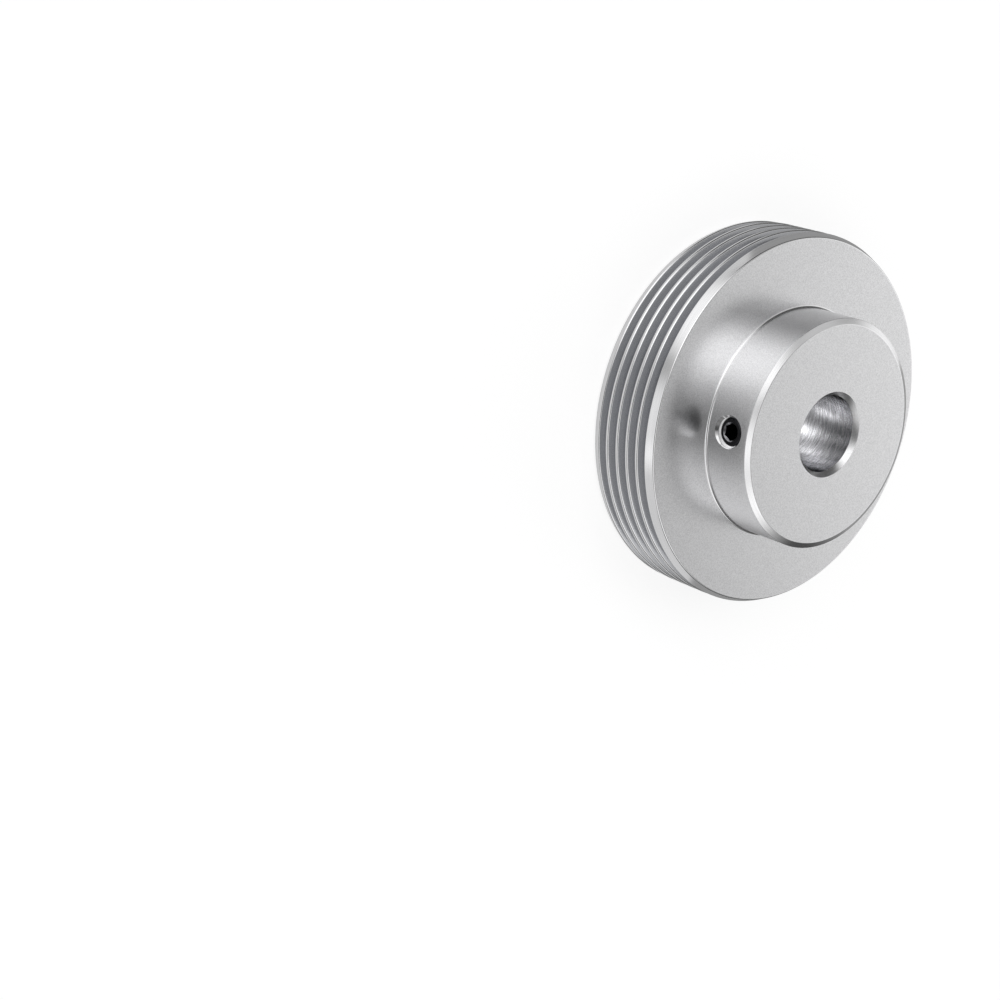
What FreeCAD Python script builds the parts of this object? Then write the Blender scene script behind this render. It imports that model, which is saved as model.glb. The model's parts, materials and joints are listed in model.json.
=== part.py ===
"""Ribbed belt pulley with a plain hub, a through bore and a radial set screw.

The pulley stands on its back face. The origin is the centre of the bore at that face, and +Z runs along
the bore towards the hub. Lengths are in millimetres and angles in degrees.
"""

import FreeCAD, Part
import math
import os

# Belt rim: profile of a ribbed belt section with a pitch of 3.56 mm
RIM_DIAMETER = 98.0
GROOVE_COUNT = 5
GROOVE_PITCH = 3.56
GROOVE_ANGLE = 40.0
CREST_RADIUS = 0.5
ROOT_RADIUS = 0.5
# the small rounds of the grooves repeat, so each is turned as a few flats
ROUND_FLATS = 2
GROOVE_TO_FACE = 3.6
RIM_CHAMFER_LENGTH = 2.2
RIM_CHAMFER_ANGLE = 25.0

# Hub on the front face
HUB_DIAMETER = 60.0
HUB_PROJECTION = 14.0
HUB_CHAMFER_WIDTH = 1.5
HUB_CHAMFER_DEPTH = 0.7
HUB_FILLET = 0.6

# Through bore, with the same chamfer at both ends
BORE_DIAMETER = 20.0
BORE_CHAMFER = 1.2

# Tapped hole through the hub wall, and the set screw in it
SCREW_DIAMETER = 8.0
SCREW_THREAD_PITCH = 1.25
SCREW_LENGTH = 16.0
SCREW_RECESS = 0.9
SCREW_TO_FACE = 7.0
SCREW_END_CHAMFER = 0.3
SCREW_COUNTERSINK_DIAMETER = 9.0
THREAD_CLEARANCE = 0.02
SOCKET_ACROSS_FLATS = 4.0
SOCKET_DEPTH = 5.0
SOCKET_MOUTH_DIAMETER = 4.9
SOCKET_BOTTOM_ANGLE = 120.0
CUP_DIAMETER = 5.0
CUP_ANGLE = 118.0

# Values that follow from the sizes above
RIM_RADIUS = RIM_DIAMETER / 2
RIM_WIDTH = (GROOVE_COUNT - 1) * GROOVE_PITCH + 2 * GROOVE_TO_FACE
RIM_CHAMFER_DROP = RIM_CHAMFER_LENGTH * math.tan(math.radians(RIM_CHAMFER_ANGLE))
HUB_RADIUS = HUB_DIAMETER / 2
HUB_TOP = RIM_WIDTH + HUB_PROJECTION
BORE_RADIUS = BORE_DIAMETER / 2
HALF_GROOVE = math.radians(GROOVE_ANGLE / 2)
# both threads are plain walls at the pitch diameter of the thread, which splits its metal evenly
THREAD_TO_PITCH_DIAMETER = 0.6495
THREAD_RADIUS = (SCREW_DIAMETER - THREAD_TO_PITCH_DIAMETER * SCREW_THREAD_PITCH) / 2
SCREW_HEIGHT = RIM_WIDTH + SCREW_TO_FACE


def point(radius, height):
    """Returns a point of a turned outline, in the plane through the bore's axis."""
    return FreeCAD.Vector(radius, 0, height)


def line(start, end):
    """Returns a straight edge."""
    return Part.LineSegment(start, end).toShape()


def arc(start, middle, end):
    """Returns a round edge through three points."""
    return Part.Arc(start, middle, end).toShape()


def turned(edges):
    """Returns the solid that an outline sweeps in a full turn about Z."""
    face = Part.Face(Part.Wire(edges))
    return face.revolve(FreeCAD.Vector(0, 0, 0), FreeCAD.Vector(0, 0, 1), 360)


def joined(points):
    """Returns the straight edges through a list of points."""
    return [line(start, end) for start, end in zip(points, points[1:])]


def groove_centres():
    """Returns the heights of the groove centres, from the back face up."""
    return [GROOVE_TO_FACE + number * GROOVE_PITCH for number in range(GROOVE_COUNT)]


def sharp_root_radius():
    """Returns the radius at which a groove's two flanks would meet."""
    sharp_crest = RIM_RADIUS + CREST_RADIUS * (1 / math.sin(HALF_GROOVE) - 1)
    return sharp_crest - GROOVE_PITCH / 2 / math.tan(HALF_GROOVE)


def round_points(axis_radius, centre, radius, side):
    """Returns a small round between two flanks as a few flats, from its lower flank to its upper one.

    The round's centre is at axis_radius. side is 1 for the top of a rib and -1 for the bottom of a groove.
    """
    sweep = math.pi / 2 - HALF_GROOVE
    points = []
    for number in range(ROUND_FLATS + 1):
        angle = sweep * (2 * number / ROUND_FLATS - 1)
        height = centre + radius * math.sin(angle)
        points.append(point(axis_radius + side * radius * math.cos(angle), height))
    return points


def root_points(centre):
    """Returns a groove's round bottom."""
    axis_radius = sharp_root_radius() + ROOT_RADIUS / math.sin(HALF_GROOVE)
    return round_points(axis_radius, centre, ROOT_RADIUS, -1)


def crest_points(centre):
    """Returns the round top of the rib between two grooves."""
    return round_points(RIM_RADIUS - CREST_RADIUS, centre, CREST_RADIUS, 1)


def rim_corner():
    """Returns the corner of the last flank and the rim chamfer, as (radius, distance from the rim's face).

    Where the flank runs out to the full rim first, a short land joins the two, and it has two points.
    """
    flank_slope = 1 / math.tan(HALF_GROOVE)
    chamfer_slope = RIM_CHAMFER_DROP / RIM_CHAMFER_LENGTH
    chamfer_root = RIM_RADIUS - RIM_CHAMFER_DROP
    sharp_root = sharp_root_radius()
    distance = (sharp_root + GROOVE_TO_FACE * flank_slope - chamfer_root) / (flank_slope + chamfer_slope)
    radius = chamfer_root + distance * chamfer_slope
    if radius <= RIM_RADIUS:
        return [(radius, distance)]
    flank_end = GROOVE_TO_FACE - (RIM_RADIUS - sharp_root) / flank_slope
    return [(RIM_RADIUS, flank_end), (RIM_RADIUS, RIM_CHAMFER_LENGTH)]


def rim_points():
    """Returns the rim's outline, from the back face's outer edge to the front face's."""
    corner = rim_corner()
    face_radius = RIM_RADIUS - RIM_CHAMFER_DROP
    points = [point(face_radius, 0)]
    points += [point(radius, distance) for radius, distance in reversed(corner)]
    for number, centre in enumerate(groove_centres()):
        if number:
            points += crest_points(centre - GROOVE_PITCH / 2)
        points += root_points(centre)
    points += [point(radius, RIM_WIDTH - distance) for radius, distance in corner]
    return points + [point(face_radius, RIM_WIDTH)]


def hub_edges():
    """Returns the outline from the rim's front face over the hub and back through the bore."""
    face_radius = RIM_RADIUS - RIM_CHAMFER_DROP
    fillet_drop = HUB_FILLET * (1 - math.cos(math.radians(45)))
    foot = point(HUB_RADIUS + HUB_FILLET, RIM_WIDTH)
    wall = point(HUB_RADIUS, RIM_WIDTH + HUB_FILLET)
    outline = [
        wall,
        point(HUB_RADIUS, HUB_TOP - HUB_CHAMFER_DEPTH),
        point(HUB_RADIUS - HUB_CHAMFER_WIDTH, HUB_TOP),
        point(BORE_RADIUS + BORE_CHAMFER, HUB_TOP),
        point(BORE_RADIUS, HUB_TOP - BORE_CHAMFER),
        point(BORE_RADIUS, BORE_CHAMFER),
        point(BORE_RADIUS + BORE_CHAMFER, 0),
        point(face_radius, 0),
    ]
    fillet = arc(foot, point(HUB_RADIUS + fillet_drop, RIM_WIDTH + fillet_drop), wall)
    return [line(point(face_radius, RIM_WIDTH), foot), fillet] + joined(outline)


def outward(shape):
    """Turns a shape made along +Z so that it lies along the screw's axis, with its top at the hub's wall."""
    shape.rotate(FreeCAD.Vector(0, 0, 0), FreeCAD.Vector(1, 0, 0), 90)
    shape.translate(FreeCAD.Vector(0, -HUB_RADIUS, SCREW_HEIGHT))
    return shape


def screw_hole():
    """Returns the cutter for the tapped hole through the hub's wall, with its countersink."""
    radius = THREAD_RADIUS + THREAD_CLEARANCE
    mouth = SCREW_COUNTERSINK_DIAMETER / 2
    flare = mouth - radius
    hole = Part.makeCylinder(radius, HUB_RADIUS, FreeCAD.Vector(0, 0, -HUB_RADIUS))
    countersink = Part.makeCone(radius, mouth + flare, 2 * flare, FreeCAD.Vector(0, 0, -flare))
    return outward(hole.fuse(countersink))


def pulley_body():
    """Returns the turned body: grooved rim, flat faces, hub and bore, with the tapped hole drilled in it."""
    return turned(joined(rim_points()) + hub_edges()).cut(screw_hole())


def socket():
    """Returns the cutter for the screw's hexagon socket, from the screw's outer end down."""
    corner = SOCKET_ACROSS_FLATS / 2 / math.cos(math.radians(30))
    corners = [FreeCAD.Vector(corner, 0, 0)]
    for number in range(1, 7):
        angle = math.radians(60 * number)
        corners.append(FreeCAD.Vector(corner * math.cos(angle), corner * math.sin(angle), 0))
    hexagon = Part.Face(Part.makePolygon(corners)).extrude(FreeCAD.Vector(0, 0, -SOCKET_DEPTH))
    inner = SOCKET_ACROSS_FLATS / 2
    tip_depth = inner / math.tan(math.radians(SOCKET_BOTTOM_ANGLE / 2))
    tip = Part.makeCone(0, inner, tip_depth, FreeCAD.Vector(0, 0, -SOCKET_DEPTH - tip_depth))
    mouth = SOCKET_MOUTH_DIAMETER / 2
    bevel = Part.makeCone(inner, mouth, mouth - inner, FreeCAD.Vector(0, 0, inner - mouth))
    return hexagon.fuse([tip, bevel])


def set_screw():
    """Returns the headless screw with its socket outwards and its cup point towards the bore."""
    cup_radius = CUP_DIAMETER / 2
    cup_depth = cup_radius / math.tan(math.radians(CUP_ANGLE / 2))
    outline = [
        point(0, 0),
        point(THREAD_RADIUS - SCREW_END_CHAMFER, 0),
        point(THREAD_RADIUS, -SCREW_END_CHAMFER),
        point(THREAD_RADIUS, -SCREW_LENGTH + THREAD_RADIUS - cup_radius),
        point(cup_radius, -SCREW_LENGTH),
        point(0, -SCREW_LENGTH + cup_depth),
        point(0, 0),
    ]
    screw = turned(joined(outline)).cut(socket())
    screw.translate(FreeCAD.Vector(0, 0, -SCREW_RECESS))
    return outward(screw)


def main():
    """Builds each piece and writes it to its own file."""
    os.makedirs("parts", exist_ok=True)
    pieces = {"pulley_body": pulley_body(), "set_screw": set_screw()}
    for name, shape in pieces.items():
        solid = shape.Solids[0]
        print(name, len(shape.Solids), "solid", solid.isValid(), "volume mm3", round(solid.Volume, 1))
        shape.exportStep("parts/" + name + ".step")


main()
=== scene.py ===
"""Ribbed belt pulley: a turned aluminium body and its blackened set screw, lit in a studio.

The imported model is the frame. The pulley stands on its back face, the bore's axis is +Z and the set
screw's axis lies along -Y. Every length is in metres, written as a number of millimetres times MM.
"""

import json
import logging
import math
from dataclasses import dataclass, field
from enum import Enum

import bmesh
import bpy
from mathutils import Matrix, Vector


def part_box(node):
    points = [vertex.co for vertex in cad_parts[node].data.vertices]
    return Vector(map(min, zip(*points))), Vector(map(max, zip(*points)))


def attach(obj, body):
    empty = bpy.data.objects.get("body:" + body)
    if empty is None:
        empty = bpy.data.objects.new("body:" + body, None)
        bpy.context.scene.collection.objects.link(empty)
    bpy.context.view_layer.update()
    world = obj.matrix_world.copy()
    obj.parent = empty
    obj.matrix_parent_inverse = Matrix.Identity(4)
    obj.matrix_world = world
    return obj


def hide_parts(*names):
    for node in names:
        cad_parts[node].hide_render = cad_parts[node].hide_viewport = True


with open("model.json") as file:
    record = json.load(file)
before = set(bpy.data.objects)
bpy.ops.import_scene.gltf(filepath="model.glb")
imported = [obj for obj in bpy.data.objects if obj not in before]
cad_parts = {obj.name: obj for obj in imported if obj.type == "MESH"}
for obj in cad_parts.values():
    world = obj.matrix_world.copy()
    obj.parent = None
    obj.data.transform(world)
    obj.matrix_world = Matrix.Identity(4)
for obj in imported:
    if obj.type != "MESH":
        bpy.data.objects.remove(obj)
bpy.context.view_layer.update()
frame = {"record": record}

MM = 0.001
# points nearer to each other than this become one, and edges shorter than a tenth of it are none
WELD = 0.001 * MM
SLIVER = WELD / 10
FULL_TURN = 2 * math.pi
HEXAGON = 6
ORIGIN = Vector((0, 0, 0))
UP = Vector((0, 0, 1))
# outlines are drawn in the XZ plane
ACROSS_OUTLINE = Vector((0, 1, 0))

# the sRGB curve is straight up to a limit, and a power beyond it
SRGB_LIMIT = 0.04045
SRGB_SLOPE = 12.92
SRGB_OFFSET = 0.055
SRGB_POWER = 2.4
WHITE = "#ffffff"

# nearly all of a noise texture's values lie between these two
NOISE_LOW = 0.35
NOISE_HIGH = 0.65
NOISE_DETAIL = 2.0
# a fade that starts and ends gently
SOFT_STEP = {"interpolation_type": "SMOOTHSTEP"}

log = logging.getLogger("pulley")


class Band(Enum):
    """The finishes of the pulley body, in the order of its material slots."""

    FACE = 0
    BRIGHT = 1
    GROOVE = 2
    WALL = 3
    BORE = 4
    THREAD = 5


class Skin(Enum):
    """The finishes of the set screw, in the order of its material slots."""

    OXIDE = 0
    BURNISHED = 1


def linear_colour(code: str) -> tuple[float, float, float, float]:
    """Turns an sRGB hex colour to the linear one that a shader takes.

    Args:
        code: Six hex digits after a hash sign.

    Returns:
        Red, green, blue and a full alpha.
    """
    channels = []
    for start in (1, 3, 5):
        value = int(code[start : start + 2], 16) / 255
        if value <= SRGB_LIMIT:
            channels.append(value / SRGB_SLOPE)
        else:
            channels.append(((value + SRGB_OFFSET) / (1 + SRGB_OFFSET)) ** SRGB_POWER)
    return (*channels, 1.0)


def towards(azimuth: float, elevation: float = 0.0) -> Vector:
    """Turns a direction given in degrees to a unit vector.

    Args:
        azimuth: Degrees round from +X towards +Y.
        elevation: Degrees above the floor.

    Returns:
        The unit vector.
    """
    around, above = math.radians(azimuth), math.radians(elevation)
    flat = math.cos(above)
    return Vector((flat * math.cos(around), flat * math.sin(around), math.sin(above)))


def add_node(
    tree: bpy.types.NodeTree, kind: str, inputs: dict | None = None, **settings
) -> bpy.types.Node:
    """Adds a node to a node tree, with its settings, values and links.

    Args:
        tree: The node tree of a material or of the world.
        kind: The node's type name.
        inputs: What each input socket holds: a plain value, or the output socket that feeds it.
        settings: The node's own properties.

    Returns:
        The new node.
    """
    node = tree.nodes.new(kind)
    for name, value in settings.items():
        setattr(node, name, value)
    for name, value in (inputs or {}).items():
        if isinstance(value, bpy.types.NodeSocket):
            tree.links.new(value, node.inputs[name])
        else:
            node.inputs[name].default_value = value
    return node


def blank_material(name: str) -> bpy.types.Material:
    """Makes a material with an empty node tree.

    Args:
        name: Its name.

    Returns:
        The new material.
    """
    material = bpy.data.materials.new(name)
    material.use_nodes = True
    material.node_tree.nodes.clear()
    return material


def mesh_object(name: str, mesh: bmesh.types.BMesh) -> bpy.types.Object:
    """Turns a bmesh into an object at the origin and frees the bmesh.

    Args:
        name: The object's name.
        mesh: The finished bmesh.

    Returns:
        The new object, linked to the scene.
    """
    data = bpy.data.meshes.new(name)
    mesh.to_mesh(data)
    mesh.free()
    made = bpy.data.objects.new(name, data)
    bpy.context.scene.collection.objects.link(made)
    return made


def combine(target: bpy.types.Object, tools: list[bpy.types.Object], operation: str) -> None:
    """Cuts a piece with closed meshes, or keeps what it shares with them, and deletes those meshes.

    The solver's tolerance is a fixed length, so it works on the meshes in millimetres.

    Args:
        target: The piece, whose mesh is exchanged for the result.
        tools: The closed meshes, used one after another.
        operation: DIFFERENCE or INTERSECT.
    """
    for item in (target, *tools):
        item.data.transform(Matrix.Scale(1 / MM, 4))
    for tool in tools:
        step = target.modifiers.new(operation.lower(), "BOOLEAN")
        step.object = tool
        step.operation = operation
        step.solver = "EXACT"
        step.material_mode = "INDEX"
    bpy.context.view_layer.update()
    finished = target.evaluated_get(bpy.context.evaluated_depsgraph_get())
    result = bpy.data.meshes.new_from_object(finished)
    result.name = target.name
    cut = bmesh.new()
    cut.from_mesh(result)
    bmesh.ops.remove_doubles(cut, verts=cut.verts, dist=WELD)
    bmesh.ops.dissolve_degenerate(cut, edges=cut.edges, dist=WELD)
    bmesh.ops.recalc_face_normals(cut, faces=cut.faces)
    cut.to_mesh(result)
    cut.free()
    result.transform(Matrix.Scale(MM, 4))
    target.modifiers.clear()
    target.data = result
    for tool in tools:
        bpy.data.objects.remove(tool)


def finish_shading(piece: bpy.types.Object, sharp_above: float = math.radians(35)) -> None:
    """Shades a piece smooth, sharp at its true edges, with the flats kept flat.

    Args:
        piece: The piece.
        sharp_above: Edges that turn by more than this stay sharp.
    """
    piece.data.shade_smooth()
    piece.data.set_sharp_from_angle(angle=sharp_above)
    weighted = piece.modifiers.new("flat_runs", "WEIGHTED_NORMAL")
    weighted.mode = "FACE_AREA"
    weighted.keep_sharp = True


@dataclass(frozen=True)
class Corner:
    """A corner of a turned outline, its round, and the finishes there.

    Args:
        radius: Distance from the axis to the sharp corner.
        height: Height of the sharp corner.
        rounding: Radius of the round that replaces the sharp corner.
        steps: Straight steps in that round.
        round_band: Finish of the round.
        band: Finish of the straight run that follows.
    """

    radius: float
    height: float
    rounding: float
    steps: int
    round_band: Band
    band: Band

    @property
    def point(self) -> Vector:
        """The sharp corner, in the plane of the outline."""
        return Vector((self.radius, 0, self.height))


class Lathe:
    """Turns a closed outline of straight runs and true arcs about the Z axis, finish by finish."""

    def __init__(self, corners: list[Corner], sectors: int, sector_steps: int) -> None:
        """Keeps the outline.

        Args:
            corners: The outline's corners, in order round the section.
            sectors: Equal sectors of the full turn. One is turned, and the others are its copies.
            sector_steps: Steps in a sector.
        """
        self.corners = corners
        self.sectors = sectors
        self.sector_steps = sector_steps
        self.mesh = bmesh.new()
        self.turned: set[bmesh.types.BMFace] = set()
        self.tip: bmesh.types.BMVert | None = None
        self.band: Band | None = None

    def build(self) -> bmesh.types.BMesh:
        """Draws the outline and turns it.

        Returns:
            The closed mesh, with each face's material index set to its band.
        """
        for number, corner in enumerate(self.corners):
            self._arc(number)
            run_end, _, _ = self._round(number + 1)
            self._run(corner.band, run_end)
        self._turn_band()
        sector = FULL_TURN / self.sectors
        bmesh.ops.spin(
            self.mesh,
            geom=self.mesh.verts[:] + self.mesh.edges[:] + self.mesh.faces[:],
            cent=ORIGIN,
            axis=UP,
            angle=FULL_TURN - sector,
            steps=self.sectors - 1,
            use_duplicate=True,
        )
        bmesh.ops.remove_doubles(self.mesh, verts=self.mesh.verts, dist=WELD)
        bmesh.ops.recalc_face_normals(self.mesh, faces=self.mesh.faces)
        return self.mesh

    def _round(self, number: int) -> tuple[Vector, Vector, float]:
        """Works out the round of a corner.

        Args:
            number: The corner's number. The outline's first corner also follows its last one.

        Returns:
            The round's start, its centre, and its sweep about the outline's normal.
        """
        count = len(self.corners)
        before, corner, after = (self.corners[(number + step) % count] for step in (-1, 0, 1))
        back = (before.point - corner.point).normalized()
        ahead = (after.point - corner.point).normalized()
        half = back.angle(ahead) / 2
        start = corner.point + back * corner.rounding / math.tan(half)
        centre = corner.point + (back + ahead).normalized() * corner.rounding / math.sin(half)
        side = math.copysign(1, (start - centre).cross(corner.point - centre).y)
        return start, centre, side * (math.pi - 2 * half)

    def _use(self, band: Band, place: Vector) -> None:
        """Turns the wire drawn so far if another finish starts at a place.

        Args:
            band: The finish from that place on.
            place: The place, where the outline's last point is.
        """
        if band is not self.band:
            self._turn_band()
            self.band = band
            self.tip = self.mesh.verts.new(place)

    def _arc(self, number: int) -> None:
        """Draws a corner's round by spinning the outline's last point about the round's centre.

        Args:
            number: The corner's number.
        """
        corner = self.corners[number]
        start, centre, sweep = self._round(number)
        self._use(corner.round_band, start)
        swept = bmesh.ops.spin(
            self.mesh,
            geom=[self.tip],
            cent=centre,
            axis=ACROSS_OUTLINE,
            angle=sweep,
            steps=corner.steps,
        )
        self.tip = next(item for item in swept["geom_last"] if isinstance(item, bmesh.types.BMVert))

    def _run(self, band: Band, end: Vector) -> None:
        """Draws a straight run from the outline's last point.

        Args:
            band: The run's finish.
            end: Where it ends.
        """
        self._use(band, self.tip.co.copy())
        grown = bmesh.ops.extrude_vert_indiv(self.mesh, verts=[self.tip])
        self.tip = grown["verts"][0]
        self.tip.co = end

    def _turn_band(self) -> None:
        """Turns the wire drawn so far through a sector and gives its faces their finish."""
        wire = [edge for edge in self.mesh.edges if edge.is_wire]
        if not wire:
            return
        ends = {vert for edge in wire for vert in edge.verts}
        bmesh.ops.spin(
            self.mesh,
            geom=wire + list(ends),
            cent=ORIGIN,
            axis=UP,
            angle=FULL_TURN / self.sectors,
            steps=self.sector_steps,
        )
        for face in self.mesh.faces:
            if face not in self.turned:
                face.material_index = self.band.value
                self.turned.add(face)


@dataclass(frozen=True)
class ConeCutter:
    """A closed cone that cuts a hollow round the Z axis, or a prism if it has few sides.

    Args:
        name: Its name.
        sides: Sides round it.
        bottom: Radius of its lower end, out to its corners.
        top: Radius of its upper end.
        depth: Length from end to end.
        finish: Finish that it leaves on the hollow's walls.
        middle: Height of its middle.
        turn: How far it is turned about its axis.
    """

    name: str
    sides: int
    bottom: float
    top: float
    depth: float
    finish: Band | Skin
    middle: float = 0.0
    turn: float = 0.0

    def build(self) -> bmesh.types.BMesh:
        """Makes the cutter.

        Returns:
            A closed bmesh.
        """
        mesh = bmesh.new()
        bmesh.ops.create_cone(
            mesh,
            cap_ends=True,
            segments=self.sides,
            radius1=self.bottom,
            radius2=self.top,
            depth=self.depth,
        )
        bmesh.ops.remove_doubles(mesh, verts=mesh.verts, dist=WELD)
        bmesh.ops.dissolve_degenerate(mesh, edges=mesh.edges, dist=SLIVER)
        bmesh.ops.recalc_face_normals(mesh, faces=mesh.faces)
        for face in mesh.faces:
            face.material_index = self.finish.value
        place = Matrix.Translation((0, 0, self.middle)) @ Matrix.Rotation(self.turn, 4, "Z")
        bmesh.ops.transform(mesh, matrix=place, verts=mesh.verts)
        return mesh


@dataclass(frozen=True)
class Thread:
    """A coarse metric screw thread, made as a rod that carries it.

    Args:
        major: Radius to the thread's crests.
        minor: Radius to its roots.
        pitch: Distance from one turn to the next.
        flank_angle: Angle between a groove's two flanks.
        crest_share: Share of the pitch that the flat crest takes.
        steps: Steps in a turn.
    """

    major: float = 4.0 * MM
    minor: float = 3.25 * MM
    pitch: float = 1.25 * MM
    flank_angle: float = math.radians(60)
    crest_share: float = 1 / 8
    steps: int = 64

    def rod(self, bottom: float, top: float, clearance: float = 0.0) -> bmesh.types.BMesh:
        """Winds the thread up the Z axis and closes it with two flat ends.

        Args:
            bottom: Height of the lower end.
            top: Height of the upper end.
            clearance: How far every surface moves outwards.

        Returns:
            A closed bmesh.
        """
        rise = (self.major - self.minor) * math.tan(self.flank_angle / 2)
        crest = self.pitch * self.crest_share + 2 * clearance / math.cos(self.flank_angle / 2)
        root = self.pitch - crest - 2 * rise
        profile = (
            (self.minor, root),
            (self.major, rise),
            (self.major, crest),
            (self.minor, rise),
        )
        # the winding starts below the lower end and passes the upper one, and both are cut flat
        turns = math.ceil((top - bottom) / self.pitch) + 2
        start = math.floor(bottom / self.pitch - 1) * self.pitch
        mesh = bmesh.new()
        tip = mesh.verts.new((self.minor + clearance, 0, start))
        climb = 0.0
        for radius, step in profile:
            climb += step
            tip = bmesh.ops.extrude_vert_indiv(mesh, verts=[tip])["verts"][0]
            tip.co = (radius + clearance, 0, start + climb)
        bmesh.ops.spin(
            mesh,
            geom=mesh.verts[:] + mesh.edges[:],
            cent=ORIGIN,
            axis=UP,
            dvec=UP * self.pitch / self.steps,
            angle=FULL_TURN,
            steps=self.steps,
        )
        bmesh.ops.spin(
            mesh,
            geom=mesh.verts[:] + mesh.edges[:] + mesh.faces[:],
            cent=ORIGIN,
            axis=UP,
            dvec=UP * self.pitch,
            angle=0,
            steps=turns - 1,
            use_duplicate=True,
        )
        bmesh.ops.remove_doubles(mesh, verts=mesh.verts, dist=WELD)
        for height, side in ((bottom, -1), (top, 1)):
            cut = bmesh.ops.bisect_plane(
                mesh,
                geom=mesh.verts[:] + mesh.edges[:] + mesh.faces[:],
                dist=SLIVER,
                plane_co=(0, 0, height),
                plane_no=(0, 0, side),
                clear_outer=True,
            )
            rim = [item for item in cut["geom_cut"] if isinstance(item, bmesh.types.BMEdge)]
            bmesh.ops.edgeloop_fill(mesh, edges=rim)
        bmesh.ops.recalc_face_normals(mesh, faces=mesh.faces)
        return mesh


@dataclass(frozen=True)
class ScrewPlace:
    """Where the set screw's hole lies: straight along -Y through the hub's wall.

    Args:
        hub_radius: Radius of the hub's wall.
        height: Height of the hole's axis.
    """

    hub_radius: float
    height: float

    @property
    def matrix(self) -> Matrix:
        """Takes a shape made along +Z, with its top at zero, to the hole, its top at the wall."""
        lying = Matrix.Rotation(math.pi / 2, 4, "X")
        return Matrix.Translation((0, -self.hub_radius, self.height)) @ lying


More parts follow.
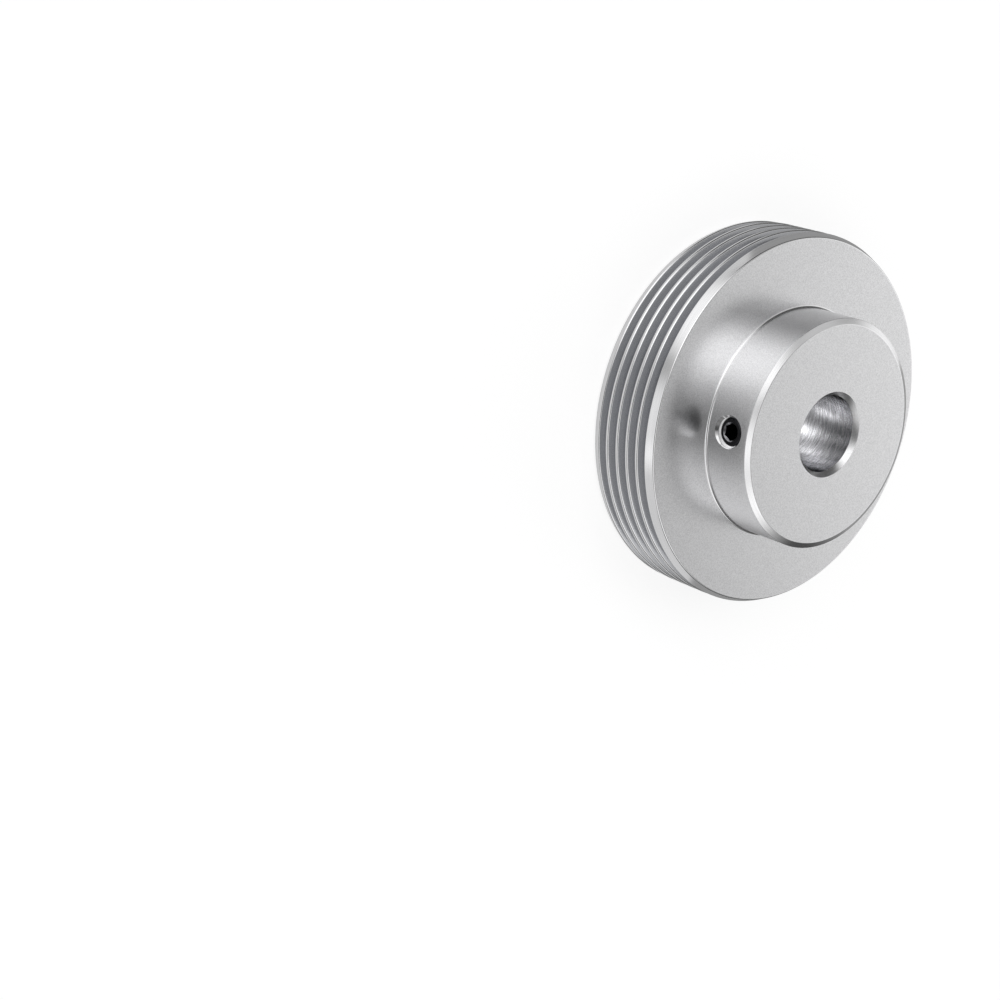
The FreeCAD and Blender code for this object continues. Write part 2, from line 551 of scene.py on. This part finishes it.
@dataclass
class PulleyBody:
    """The pulley itself: grooved rim, flat faces, hub and bore, turned from one piece of aluminium.

    Args:
        node: The CAD node that it stands for.
        groove_count: Number of grooves round the rim.
        groove_pitch: Distance from one groove to the next.
        groove_angle: Angle between a groove's two flanks.
        crest_round: Radius of the ribs' tops.
        root_round: Radius of the grooves' bottoms.
        groove_to_face: Distance from the middle of the outermost groove to the rim's flat face.
        chamfer_length: Length of the rim's chamfer along the axis.
        chamfer_angle: Angle of that chamfer to the axis.
        hub_radius: Radius of the hub.
        hub_chamfer_width: Width of the hub's chamfer across its face.
        hub_chamfer_depth: Depth of that chamfer along the axis.
        hub_fillet: Radius at the hub's foot.
        bore_chamfer: Size of the chamfer at each end of the bore.
        countersink_radius: Radius of the tapped hole's countersink at the hub's wall.
        thread_clearance: Play between the tapped thread and the screw's.
        edge_break: Round on a crisp machined edge.
        soft_edge: Round on a polished edge.
        break_steps: Straight steps in an edge's round.
        round_steps: Straight steps in the round of a rib or a groove.
        fillet_steps: Straight steps at the hub's foot.
        sectors: Equal sectors of the full turn, of which one is turned and copied.
        sector_steps: Steps in a sector.
        hole_steps: Steps round the countersink.
    """

    node: str = "pulley_body"
    groove_count: int = 5
    groove_pitch: float = 3.56 * MM
    groove_angle: float = math.radians(40)
    crest_round: float = 0.5 * MM
    root_round: float = 0.5 * MM
    groove_to_face: float = 3.6 * MM
    chamfer_length: float = 2.2 * MM
    chamfer_angle: float = math.radians(25)
    hub_radius: float = 30.0 * MM
    hub_chamfer_width: float = 1.5 * MM
    hub_chamfer_depth: float = 0.7 * MM
    hub_fillet: float = 0.6 * MM
    bore_chamfer: float = 1.2 * MM
    countersink_radius: float = 4.5 * MM
    thread_clearance: float = 0.02 * MM
    edge_break: float = 0.12 * MM
    soft_edge: float = 0.45 * MM
    break_steps: int = 3
    round_steps: int = 6
    fillet_steps: int = 8
    sectors: int = 16
    sector_steps: int = 24
    hole_steps: int = 96
    # these follow from the frame and from the sizes above
    rim_radius: float = field(init=False)
    rim_width: float = field(init=False)
    hub_top: float = field(init=False)
    bore_radius: float = field(init=False)

    def __post_init__(self) -> None:
        """Takes the overall sizes from the frame and works out the rim's width."""
        _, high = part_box(self.node)
        bore = next(mount for mount in frame["record"]["mounts"] if mount["name"] == "bore")
        self.rim_radius = high.x
        self.hub_top = high.z
        self.rim_width = (self.groove_count - 1) * self.groove_pitch + 2 * self.groove_to_face
        self.bore_radius = bore["dims"]["r_mm"] * MM

    @property
    def face_radius(self) -> float:
        """Outer radius of the rim's flat faces."""
        return self.rim_radius - self.chamfer_length * math.tan(self.chamfer_angle)

    @property
    def sharp_crest(self) -> float:
        """Radius at which the two flanks of a rib would meet."""
        return self.rim_radius + self.crest_round * (1 / math.sin(self.groove_angle / 2) - 1)

    @property
    def sharp_root(self) -> float:
        """Radius at which the two flanks of a groove would meet."""
        return self.sharp_crest - self.groove_pitch / 2 / math.tan(self.groove_angle / 2)

    def rim_corner(self) -> tuple[float, float]:
        """Finds where the last flank meets the rim's chamfer.

        Returns:
            Its radius and its distance from the flat face.
        """
        flank = 1 / math.tan(self.groove_angle / 2)
        chamfer = math.tan(self.chamfer_angle)
        reach = self.sharp_root + self.groove_to_face * flank - self.face_radius
        distance = reach / (flank + chamfer)
        return self.face_radius + distance * chamfer, distance

    def edge(
        self, radius: float, height: float, band: Band, rounding: float | None = None
    ) -> Corner:
        """Makes a machined edge.

        Args:
            radius: Distance from the axis to the sharp edge.
            height: Height of the sharp edge.
            band: Finish of the surface after it.
            rounding: Its round, or None for the small break of a crisp edge.

        Returns:
            The corner, whose round is bright.
        """
        rounding = rounding or self.edge_break
        return Corner(radius, height, rounding, self.break_steps, Band.BRIGHT, band)

    def groove_corners(self) -> list[Corner]:
        """Lays out the rounds of the grooves and of the ribs between them.

        Returns:
            The corners, from the back face up.
        """
        corners = []
        for number in range(self.groove_count):
            centre = self.groove_to_face + number * self.groove_pitch
            if number:
                middle = centre - self.groove_pitch / 2
                crest = (self.sharp_crest, middle, self.crest_round, self.round_steps)
                corners.append(Corner(*crest, Band.BRIGHT, Band.GROOVE))
            root = (self.sharp_root, centre, self.root_round, self.round_steps)
            corners.append(Corner(*root, Band.GROOVE, Band.GROOVE))
        return corners

    def outline(self) -> list[Corner]:
        """Lays out the section of the body.

        Returns:
            Its corners, from the bore's back edge outwards and round.
        """
        corner_radius, corner_distance = self.rim_corner()
        mouth = self.bore_radius + self.bore_chamfer
        hub_wall_top = self.hub_top - self.hub_chamfer_depth
        hub_face_radius = self.hub_radius - self.hub_chamfer_width
        foot = (self.hub_radius, self.rim_width, self.hub_fillet, self.fillet_steps)
        return [
            self.edge(mouth, 0, Band.FACE),
            self.edge(self.face_radius, 0, Band.BRIGHT, self.soft_edge),
            self.edge(corner_radius, corner_distance, Band.GROOVE, self.soft_edge),
            *self.groove_corners(),
            self.edge(corner_radius, self.rim_width - corner_distance, Band.BRIGHT),
            self.edge(self.face_radius, self.rim_width, Band.FACE, self.soft_edge),
            Corner(*foot, Band.BRIGHT, Band.WALL),
            self.edge(self.hub_radius, hub_wall_top, Band.BRIGHT),
            self.edge(hub_face_radius, self.hub_top, Band.FACE, self.soft_edge),
            self.edge(mouth, self.hub_top, Band.WALL),
            self.edge(self.bore_radius, self.hub_top - self.bore_chamfer, Band.BORE),
            self.edge(self.bore_radius, self.bore_chamfer, Band.BRIGHT),
        ]

    def tapped_hole(self, thread: Thread, place: ScrewPlace) -> list[bpy.types.Object]:
        """Makes the cutters of the tapped hole.

        Args:
            thread: The thread of the set screw.
            place: Where the hole lies.

        Returns:
            A threaded rod from inside the bore through the hub's wall, and the countersink's cone.
        """
        inner_end = self.bore_radius / 2 - self.hub_radius
        rod = thread.rod(inner_end, thread.pitch, self.thread_clearance)
        for face in rod.faces:
            face.material_index = Band.THREAD.value
        # the cone runs on past the wall, as wide again as the countersink flares
        flare = self.countersink_radius - thread.minor
        cone = ConeCutter(
            "hole_countersink",
            self.hole_steps,
            thread.minor,
            self.countersink_radius + flare,
            2 * flare,
            Band.BRIGHT,
        )
        cutters = []
        for name, mesh in (("hole_thread", rod), (cone.name, cone.build())):
            bmesh.ops.transform(mesh, matrix=place.matrix, verts=mesh.verts)
            cutters.append(mesh_object(name, mesh))
        return cutters

    def build(
        self, thread: Thread, place: ScrewPlace, finishes: dict[Band, bpy.types.Material]
    ) -> bpy.types.Object:
        """Turns the body, cuts the tapped hole and dresses it.

        Args:
            thread: The thread of the set screw.
            place: Where the hole lies.
            finishes: The material of each band.

        Returns:
            The finished piece.
        """
        lathe = Lathe(self.outline(), self.sectors, self.sector_steps)
        body = mesh_object("turned_body", lathe.build())
        combine(body, self.tapped_hole(thread, place), "DIFFERENCE")
        for band in Band:
            body.data.materials.append(finishes[band])
        finish_shading(body)
        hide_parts(self.node)
        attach(body, "root")
        return body


@dataclass
class SetScrew:
    """The headless set screw, with its hexagon socket outwards and its cup point to the bore.

    Args:
        node: The CAD node that it stands for.
        length: Length from end to end.
        recess: Depth of its outer end below the hub's wall.
        end_chamfer: Chamfer of its outer end.
        socket_across_flats: Size of the key that fits the socket.
        socket_depth: Depth of the socket's flats.
        socket_mouth_radius: Radius of the socket's bevelled mouth.
        drill_angle: Angle of the drilled bottom of the socket.
        cup_radius: Radius of the cup point's edge.
        cup_angle: Angle of the cup's hollow.
        drill_overlap: How far the drilled bottom reaches into the flats and stays inside them.
        turn_steps: Steps in a full turn.
    """

    node: str = "set_screw"
    length: float = 16.0 * MM
    recess: float = 0.9 * MM
    end_chamfer: float = 0.8 * MM
    socket_across_flats: float = 4.0 * MM
    socket_depth: float = 5.0 * MM
    socket_mouth_radius: float = 2.45 * MM
    drill_angle: float = math.radians(120)
    cup_radius: float = 2.5 * MM
    cup_angle: float = math.radians(118)
    drill_overlap: float = 0.08 * MM
    turn_steps: int = 96

    def envelope(self, thread: Thread) -> bmesh.types.BMesh:
        """Makes the turned form that the threaded rod is cut to.

        It is wider than the thread, and its outer chamfer is so long that it leaves the wanted one
        on the thread.

        Args:
            thread: The screw's thread.

        Returns:
            A closed bmesh, from the centre of the screw's outer end to the bottom of its cup.
        """
        cup_depth = self.cup_radius / math.tan(self.cup_angle / 2)
        wide = thread.major + self.end_chamfer
        outline = (
            (wide - 2 * self.end_chamfer, 0),
            (wide, -2 * self.end_chamfer),
            (wide, -self.length + wide - self.cup_radius),
            (self.cup_radius, -self.length),
            (0, -self.length + cup_depth),
        )
        mesh = bmesh.new()
        tip = mesh.verts.new(ORIGIN)
        for radius, height in outline:
            tip = bmesh.ops.extrude_vert_indiv(mesh, verts=[tip])["verts"][0]
            tip.co = (radius, 0, height)
        bmesh.ops.spin(
            mesh,
            geom=mesh.verts[:] + mesh.edges[:],
            cent=ORIGIN,
            axis=UP,
            angle=FULL_TURN,
            steps=self.turn_steps,
            use_merge=True,
        )
        bmesh.ops.remove_doubles(mesh, verts=mesh.verts, dist=WELD)
        bmesh.ops.recalc_face_normals(mesh, faces=mesh.faces)
        return mesh

    def socket_tools(self) -> list[bpy.types.Object]:
        """Makes the cutters of the hexagon socket.

        Returns:
            Those of its flats, its drilled bottom and its bevelled mouth.
        """
        inner = self.socket_across_flats / 2
        corner = inner / math.cos(math.pi / HEXAGON)
        bevel = self.socket_mouth_radius - inner
        tip_depth = inner / math.tan(self.drill_angle / 2)
        flats = ConeCutter(
            "socket_flats",
            HEXAGON,
            corner,
            corner,
            2 * self.socket_depth,
            Skin.OXIDE,
            turn=math.pi / HEXAGON,
        )
        drill = ConeCutter(
            "socket_drill",
            self.turn_steps,
            0,
            inner - self.drill_overlap,
            tip_depth + self.drill_overlap,
            Skin.OXIDE,
            middle=-self.socket_depth - (tip_depth - self.drill_overlap) / 2,
        )
        mouth = ConeCutter(
            "socket_mouth",
            self.turn_steps,
            inner,
            self.socket_mouth_radius + bevel,
            2 * bevel,
            Skin.BURNISHED,
        )
        return [mesh_object(cutter.name, cutter.build()) for cutter in (flats, drill, mouth)]

    def build(
        self, thread: Thread, place: ScrewPlace, finishes: dict[Skin, bpy.types.Material]
    ) -> bpy.types.Object:
        """Makes the screw and dresses it.

        Args:
            thread: Its thread.
            place: Where the hole lies.
            finishes: The material of each skin.

        Returns:
            The finished piece.
        """
        rod = thread.rod(-self.length - thread.pitch - self.recess, thread.pitch)
        screw = mesh_object("threaded_screw", rod)
        tools = self.socket_tools()
        envelope = mesh_object("screw_envelope", self.envelope(thread))
        for tool in (envelope, *tools):
            tool.data.transform(Matrix.Translation((0, 0, -self.recess)))
        combine(screw, [envelope], "INTERSECT")
        combine(screw, tools, "DIFFERENCE")
        screw.data.transform(place.matrix)
        for skin in Skin:
            screw.data.materials.append(finishes[skin])
        finish_shading(screw)
        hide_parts(self.node)
        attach(screw, "root")
        return screw


@dataclass(frozen=True)
class Aluminium:
    """Turned aluminium, whose cut sets how sharp its reflections are and which marks it carries.

    Args:
        name: The finish in a maker's words.
        colour: Its sRGB colour.
        roughness: How far it spreads a reflection.
        grain: Size of the fine grain of a satin surface, drawn as coarse as it needs to show.
        grain_shade: How much darker its pits are.
        ring: Spacing of the rings that the tool leaves, drawn as coarse as they need to show.
        ring_height: Height of those rings.
        ring_shade: How much darker the rings' furrows are.
        ridge_lift: Share of that darkening by which the raised parts are lighter.
        ring_run: How far a ring's pattern moves on in a turn of one radian.
        stretch: How far fine rings draw a highlight out across themselves, from 0 to 1.
        stretch_turn: Turn of that stretch from the direction round the axis, in full turns.
    """

    name: str
    colour: str = "#f2f2f3"
    roughness: float = 0.25
    grain: float = 0.24 * MM
    grain_shade: float = 0.0
    ring: float = 0.2 * MM
    ring_height: float = 0.0
    ring_shade: float = 0.0
    ridge_lift: float = 0.25
    ring_run: float = 0.8 * MM
    stretch: float = 0.0
    stretch_turn: float = 0.25

    def ring_place(
        self, tree: bpy.types.NodeTree, place: bpy.types.NodeSocket
    ) -> bpy.types.NodeSocket:
        """Turns a place on the piece to one in its section, in which rings are nearly straight.

        Args:
            tree: The material's node tree.
            place: The place as Object coordinates.

        Returns:
            The radius, a short run round the axis, and the height.
        """
        split = add_node(tree, "ShaderNodeSeparateXYZ", {"Vector": place}).outputs
        across = {"X": split["X"], "Y": split["Y"]}
        spoke = add_node(tree, "ShaderNodeCombineXYZ", across).outputs["Vector"]
        radius = add_node(tree, "ShaderNodeVectorMath", {0: spoke}, operation="LENGTH")
        sides = {0: split["Y"], 1: split["X"]}
        angle = add_node(tree, "ShaderNodeMath", sides, operation="ARCTAN2").outputs[0]
        run = add_node(tree, "ShaderNodeMath", {0: angle, 1: self.ring_run}, operation="MULTIPLY")
        section = {"X": radius.outputs["Value"], "Y": run.outputs[0], "Z": split["Z"]}
        return add_node(tree, "ShaderNodeCombineXYZ", section).outputs["Vector"]

    def material(self) -> bpy.types.Material:
        """Makes the finish's material.

        Returns:
            The new material.
        """
        material = blank_material(self.name)
        tree = material.node_tree
        place = add_node(tree, "ShaderNodeTexCoord").outputs["Object"]
        ring_marks = {"Vector": self.ring_place(tree, place), "Scale": 1 / self.ring}
        pit_marks = {"Vector": place, "Scale": 1 / self.grain}
        rings, pits = (
            add_node(tree, "ShaderNodeTexNoise", {**marks, "Detail": NOISE_DETAIL}).outputs["Fac"]
            for marks in (ring_marks, pit_marks)
        )
        sockets = {
            "Base Color": linear_colour(self.colour),
            "Metallic": 1.0,
            "Roughness": self.roughness,
        }
        if self.ring_height:
            ridges = {"Height": rings, "Distance": self.ring_height}
            sockets["Normal"] = add_node(tree, "ShaderNodeBump", ridges).outputs["Normal"]
        tint = sockets["Base Color"][:3]
        for marks, depth in ((pits, self.grain_shade), (rings, self.ring_shade)):
            if not depth:
                continue
            limits = {"From Min": NOISE_LOW, "From Max": NOISE_HIGH}
            limits.update({"To Min": 1 - depth, "To Max": 1 + depth * self.ridge_lift})
            shade = add_node(tree, "ShaderNodeMapRange", {"Value": marks, **limits}).outputs[0]
            scaled = add_node(
                tree, "ShaderNodeVectorMath", {0: tint, "Scale": shade}, operation="SCALE"
            )
            tint = sockets["Base Color"] = scaled.outputs["Vector"]
        if self.stretch:
            round_axis = add_node(tree, "ShaderNodeTangent", direction_type="RADIAL", axis="Z")
            sockets["Tangent"] = round_axis.outputs["Tangent"]
            sockets["Anisotropic"] = self.stretch
            sockets["Anisotropic Rotation"] = self.stretch_turn
        surface = add_node(tree, "ShaderNodeBsdfPrincipled", sockets)
        add_node(tree, "ShaderNodeOutputMaterial", {"Surface": surface.outputs["BSDF"]})
        return material


@dataclass(frozen=True)
class BlackOxide:
    """Black oxide on alloy steel, slightly oily: nearly black, with soft dark highlights.

    Args:
        name: The finish in a maker's words.
        colour: Its sRGB colour.
        roughness: How far it spreads a reflection.
    """

    name: str
    colour: str = "#3a3a3d"
    roughness: float = 0.3

    def material(self) -> bpy.types.Material:
        """Makes the finish's material.

        Returns:
            The new material.
        """
        material = blank_material(self.name)
        tree = material.node_tree
        sockets = {
            "Base Color": linear_colour(self.colour),
            "Metallic": 1.0,
            "Roughness": self.roughness,
        }
        surface = add_node(tree, "ShaderNodeBsdfPrincipled", sockets)
        add_node(tree, "ShaderNodeOutputMaterial", {"Surface": surface.outputs["BSDF"]})
        return material


SKINS = {
    # dull black ring and hollow, so that the screw reads as one dark disc in the pale wall
    Skin.OXIDE: BlackOxide("black_oxide_steel"),
    # the key has rubbed the socket's mouth, which gives a thin grey glint round the hollow
    Skin.BURNISHED: BlackOxide("burnished_oxide_steel", colour="#9a9a9e", roughness=0.25),
}

FINISHES = {
    # even pale grey with a faint sand-like grain, and only soft cloudy reflections of the hub
    Band.FACE: Aluminium("satin_turned_aluminium", roughness=0.28, grain_shade=0.2),
    # crisp light lines on every edge, crest and chamfer, with a trace of the tool's rings
    Band.BRIGHT: Aluminium("diamond_cut_aluminium", roughness=0.14, ring_shade=0.05),
    # flanks with painted shade: coloured darker than the face to stand in for shade deep in the
    # grooves, with a cool tint and faint rings, which set the bright crests apart
    Band.GROOVE: Aluminium(
        "groove_aluminium_painted_shade",
        colour="#c4c5c8",
        roughness=0.22,
        ring_height=0.001 * MM,
        ring_shade=0.05,
    ),
    # long soft light and dark fields round the hub, with the same faint grain
    Band.WALL: Aluminium("fine_turned_aluminium", roughness=0.28, grain_shade=0.2),
    # bands of light along the bore, partly the reflection of the floor's painted bright spot, crossed
    # by the fine rings of the boring tool; its colour is darker than the face, as painted shade
    # inside the bore
    Band.BORE: Aluminium(
        "bored_aluminium_painted_shade",
        colour="#dcdcde",
        roughness=0.18,
        ring=0.24 * MM,
        ring_height=0.002 * MM,
        ring_shade=0.32,
        stretch=0.75,
    ),
    # a glint between the screw and its hole
    Band.THREAD: Aluminium("tapped_aluminium", roughness=0.3, ring_shade=0.1),
}


@dataclass(frozen=True)
class Glow:
    """A soft bright patch of the studio's walls or ceiling, which fades out towards its rim.

    Args:
        name: Where it is.
        azimuth: Degrees round from +X towards +Y, seen from the pulley.
        elevation: Degrees above the floor.
        spread: Degrees from its middle to its rim.
        radiance: How bright its middle is, where 1 is white.
    """

    name: str
    azimuth: float
    elevation: float
    spread: float
    radiance: float

    @property
    def direction(self) -> Vector:
        """Unit vector from the pulley to the middle of the patch."""
        return towards(self.azimuth, self.elevation)


@dataclass
class Studio:
    """The plain pale floor, the soft light of the room and the camera.

    As mirrored rays see it, the floor carries painted light: it glows brighter on one side of the
    pulley only, with a painted bright spot below the bore. A share of 1 there is as bright as the
    lift that the camera sees.

    Args:
        floor_radius: Radius of the round floor.
        floor_steps: Steps round its rim.
        floor_colour: Its sRGB colour.
        floor_lift: Light added to what the floor reflects, which brings it to white.
        painted_lit_side: Degrees from +X towards +Y to the middle of the side where light is painted
            on the floor.
        painted_lit_from: Distance from the axis towards that side at which the painted light starts.
        painted_lit_to: Distance at which the painted light is full.
        painted_unlit_share: Share of the lift on the side without the painted light.
        painted_lit_share: Share of the lift on the side with the painted light.
        painted_spot_place: Middle of the painted bright spot.
        painted_spot_radius: Radius of that painted spot.
        painted_spot_share: Share of the lift that the painted spot adds in its middle.
        room_level: How bright the room is between its patches.
        glows: The patches.
        camera_azimuth: Degrees from +X towards +Y to the camera.
        camera_elevation: Degrees above the floor to the camera.
        camera_distance: Distance of the camera from the centre of the rim's front face.
        camera_aim: Place that the camera looks at.
        camera_roll: Degrees by which the camera is turned about its line of sight.
        camera_lens: Focal length in millimetres.
    """

    floor_radius: float = 2.5
    floor_steps: int = 96
    floor_colour: str = "#a0a0a0"
    floor_lift: float = 0.78
    painted_lit_side: float = 268.0
    painted_lit_from: float = -1 * MM
    painted_lit_to: float = 5 * MM
    painted_unlit_share: float = 0.1
    painted_lit_share: float = 0.55
    painted_spot_place: tuple[float, float, float] = (-3 * MM, -6 * MM, 0)
    painted_spot_radius: float = 5 * MM
    painted_spot_share: float = 6.0
    room_level: float = 0.07
    glows: tuple[Glow, ...] = (
        Glow("left_ceiling", 200, 58, 33, 1.25),
        Glow("ceiling", 200, 86, 30, 0.47),
        Glow("left_wall", 215, 14, 40, 1.0),
        Glow("near_wall", 276, 6, 33, 0.76),
        Glow("right_wall", 314, 0, 30, 0.6),
        Glow("far_wall", 86, 20, 36, 1.07),
        Glow("far_ceiling", 127, 47, 24, 0.5),
        Glow("right_ceiling", 354, 55, 39, 0.85),
        Glow("left_window", 244, 38, 24, 0.4),
        Glow("far_right_wall", 28, 42, 24, 0.3),
    )
    camera_azimuth: float = 256.43
    camera_elevation: float = 40.06
    camera_distance: float = 565.5 * MM
    camera_aim: tuple[float, float, float] = (15.65 * MM, -95.35 * MM, 21.4 * MM)
    camera_roll: float = 112.41
    camera_lens: float = 78.24

    def painted_mirror_share(self, tree: bpy.types.NodeTree) -> bpy.types.NodeSocket:
        """Works out the painted light that mirrored rays find on the floor: a brighter side and a
        bright spot.

        Args:
            tree: The node tree of the floor's material.

        Returns:
            The share of the lift at each place.
        """
        place = add_node(tree, "ShaderNodeTexCoord").outputs["Object"]
        # painted light: the floor glows brighter to mirrored rays on one side, though no lamp lights
        # it more
        sideways = {0: place, 1: towards(self.painted_lit_side)}
        along = add_node(tree, "ShaderNodeVectorMath", sideways, operation="DOT_PRODUCT")
        sides = {
            "Value": along.outputs["Value"],
            "From Min": self.painted_lit_from,
            "From Max": self.painted_lit_to,
            "To Min": self.painted_unlit_share,
            "To Max": self.painted_lit_share,
        }
        side = add_node(tree, "ShaderNodeMapRange", sides, **SOFT_STEP)
        # painted light: a bright spot on the floor below the bore, which the bore's wall reflects as
        # bands
        ends = {0: place, 1: self.painted_spot_place}
        apart = add_node(tree, "ShaderNodeVectorMath", ends, operation="DISTANCE")
        spot = {
            "Value": apart.outputs["Value"],
            "From Min": self.painted_spot_radius,
            "From Max": 0.0,
            "To Max": self.painted_spot_share,
        }
        painted_spot = add_node(tree, "ShaderNodeMapRange", spot, **SOFT_STEP)
        both = {0: side.outputs[0], 1: painted_spot.outputs[0]}
        return add_node(tree, "ShaderNodeMath", both, operation="ADD").outputs[0]

    def build_floor(self) -> bpy.types.Object:
        """Makes the round floor at the height of the pulley's back face.

        Returns:
            The floor, white to the camera, which keeps the pulley's shadow.
        """
        mesh = bmesh.new()
        bmesh.ops.create_circle(
            mesh, cap_ends=True, segments=self.floor_steps, radius=self.floor_radius
        )
        floor = mesh_object("floor", mesh)
        # pale card, which reads as a plain white ground
        material = blank_material("white_card")
        tree = material.node_tree
        path = add_node(tree, "ShaderNodeLightPath").outputs
        # the painted light reaches mirrored rays only, and the camera sees the floor plainly white
        mirrored_part = {0: path["Is Glossy Ray"], 1: self.painted_mirror_share(tree)}
        mirrored = add_node(tree, "ShaderNodeMath", mirrored_part, operation="MULTIPLY")
        straight_part = {0: path["Is Camera Ray"], 1: path["Is Transmission Ray"]}
        straight = add_node(tree, "ShaderNodeMath", straight_part, operation="MAXIMUM")
        either = {0: straight.outputs[0], 1: mirrored.outputs[0]}
        seen = add_node(tree, "ShaderNodeMath", either, operation="MAXIMUM").outputs[0]
        lift = add_node(tree, "ShaderNodeMath", {0: seen, 1: self.floor_lift}, operation="MULTIPLY")
        light = {"Color": linear_colour(WHITE), "Strength": lift.outputs[0]}
        glow = add_node(tree, "ShaderNodeEmission", light)
        card = add_node(tree, "ShaderNodeBsdfDiffuse", {"Color": linear_colour(self.floor_colour)})
        layers = {0: card.outputs["BSDF"], 1: glow.outputs["Emission"]}
        surface = add_node(tree, "ShaderNodeAddShader", layers)
        add_node(tree, "ShaderNodeOutputMaterial", {"Surface": surface.outputs["Shader"]})
        floor.data.materials.append(material)
        return floor

    def build_world(self) -> bpy.types.World:
        """Makes the room's light, with its soft bright patches.

        Returns:
            The world, plain white to the camera.
        """
        world = bpy.data.worlds.new("studio_room")
        world.use_nodes = True
        tree = world.node_tree
        tree.nodes.clear()
        direction = add_node(tree, "ShaderNodeTexCoord").outputs["Generated"]
        total = self.room_level
        for glow in self.glows:
            pair = {0: direction, 1: glow.direction}
            nearness = add_node(tree, "ShaderNodeVectorMath", pair, operation="DOT_PRODUCT")
            fade = {
                "Value": nearness.outputs["Value"],
                "From Min": math.cos(math.radians(glow.spread)),
                "From Max": 1.0,
                "To Max": glow.radiance,
            }
            patch = add_node(tree, "ShaderNodeMapRange", fade, **SOFT_STEP).outputs[0]
            total = add_node(
                tree, "ShaderNodeMath", {0: patch, 1: total}, operation="ADD"
            ).outputs[0]
        path = add_node(tree, "ShaderNodeLightPath").outputs
        white = linear_colour(WHITE)
        room, plain = (
            add_node(tree, "ShaderNodeBackground", {"Color": white, "Strength": strength})
            for strength in (total, 1.0)
        )
        views = {
            0: path["Is Camera Ray"],
            1: room.outputs["Background"],
            2: plain.outputs["Background"],
        }
        mixed = add_node(tree, "ShaderNodeMixShader", views)
        add_node(tree, "ShaderNodeOutputWorld", {"Surface": mixed.outputs["Shader"]})
        bpy.context.scene.world = world
        return world

    def build_camera(self, centre: Vector) -> bpy.types.Object:
        """Places the camera and makes it the scene's own.

        Args:
            centre: Centre of the rim's front face.

        Returns:
            The camera.
        """
        data = bpy.data.cameras.new("studio_camera")
        data.lens = self.camera_lens
        camera = bpy.data.objects.new("studio_camera", data)
        direction = towards(self.camera_azimuth, self.camera_elevation)
        camera.location = centre + direction * self.camera_distance
        back = camera.location - Vector(self.camera_aim)
        level = back.to_track_quat("Z", "Y").to_matrix().to_4x4()
        turned = level @ Matrix.Rotation(math.radians(self.camera_roll), 4, "Z")
        camera.rotation_mode = "QUATERNION"
        camera.rotation_quaternion = turned.to_quaternion()
        bpy.context.scene.collection.objects.link(camera)
        bpy.context.scene.camera = camera
        return camera

    def build(self, centre: Vector) -> None:
        """Builds the floor, the world and the camera, and sets the view.

        Args:
            centre: Centre of the rim's front face.
        """
        self.build_floor()
        self.build_world()
        self.build_camera(centre)
        bpy.context.scene.view_settings.view_transform = "Standard"


def main() -> None:
    """Builds each sub-assembly in order and reports each piece."""
    logging.basicConfig(level=logging.INFO, format="%(name)s: %(message)s")
    thread = Thread()
    body = PulleyBody()
    screw = SetScrew()
    screw_low, screw_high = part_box(screw.node)
    place = ScrewPlace(body.hub_radius, (screw_low.z + screw_high.z) / 2)
    bands = {band: finish.material() for band, finish in FINISHES.items()}
    skins = {skin: finish.material() for skin, finish in SKINS.items()}
    pieces = [body.build(thread, place, bands), screw.build(thread, place, skins)]
    for piece in pieces:
        log.info("%s: %d faces", piece.name, len(piece.data.polygons))
    Studio().build(Vector((0, 0, body.rim_width)))


if __name__ == "__main__":
    main()
